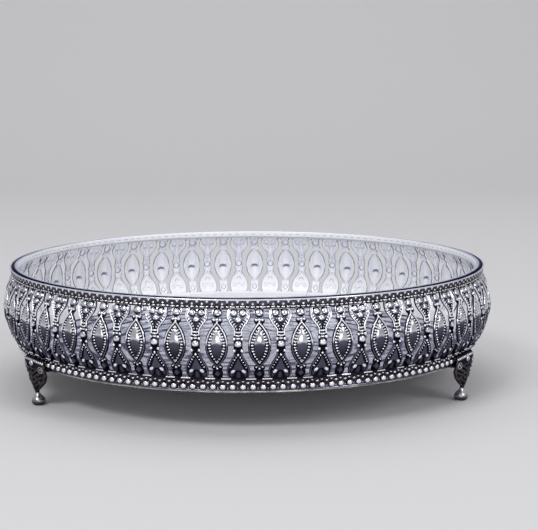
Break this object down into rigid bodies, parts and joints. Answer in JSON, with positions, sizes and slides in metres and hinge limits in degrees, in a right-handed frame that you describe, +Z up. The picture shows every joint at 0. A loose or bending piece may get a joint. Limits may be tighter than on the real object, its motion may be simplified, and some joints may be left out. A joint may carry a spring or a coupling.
{
  "type": "puja tray",
  "caption": "Round footed puja tray with a low bulged wall of pierced and embossed silver work, a shell-bordered rim, a beaded band and a flat floor.",
  "frame": {"origin": "under the tray's centre, on the surface that the feet stand on", "axes": "+Z up through the tray's centre; -Y towards the side that the picture shows; one foot is at the back, close to +Y"},
  "size_m": [0.3044, 0.3046, 0.0746],
  "materials": {
    "aged_silver": "nickel silver, pressed relief with dark hollows and polished high spots",
    "bright_silver": "nickel silver, bright polished",
    "floor_silver": "nickel silver sheet, polished and slightly wavy, brassy at its edge",
    "dark_silver": "cast nickel silver, darkened"
  },
  "bodies": {
    "root": {"base_plate": "floor_silver", "bead_band": "aged_silver", "gallery_length_1": "aged_silver", "gallery_length_2": "aged_silver", "gallery_length_3": "aged_silver", "rim_border": "aged_silver", "rim_lip": "bright_silver", "foot_1": "dark_silver", "foot_2": "dark_silver", "foot_3": "dark_silver", "foot_rivet_1": "aged_silver", "foot_rivet_2": "aged_silver", "foot_rivet_3": "aged_silver"}
  },
  "joints": []
}
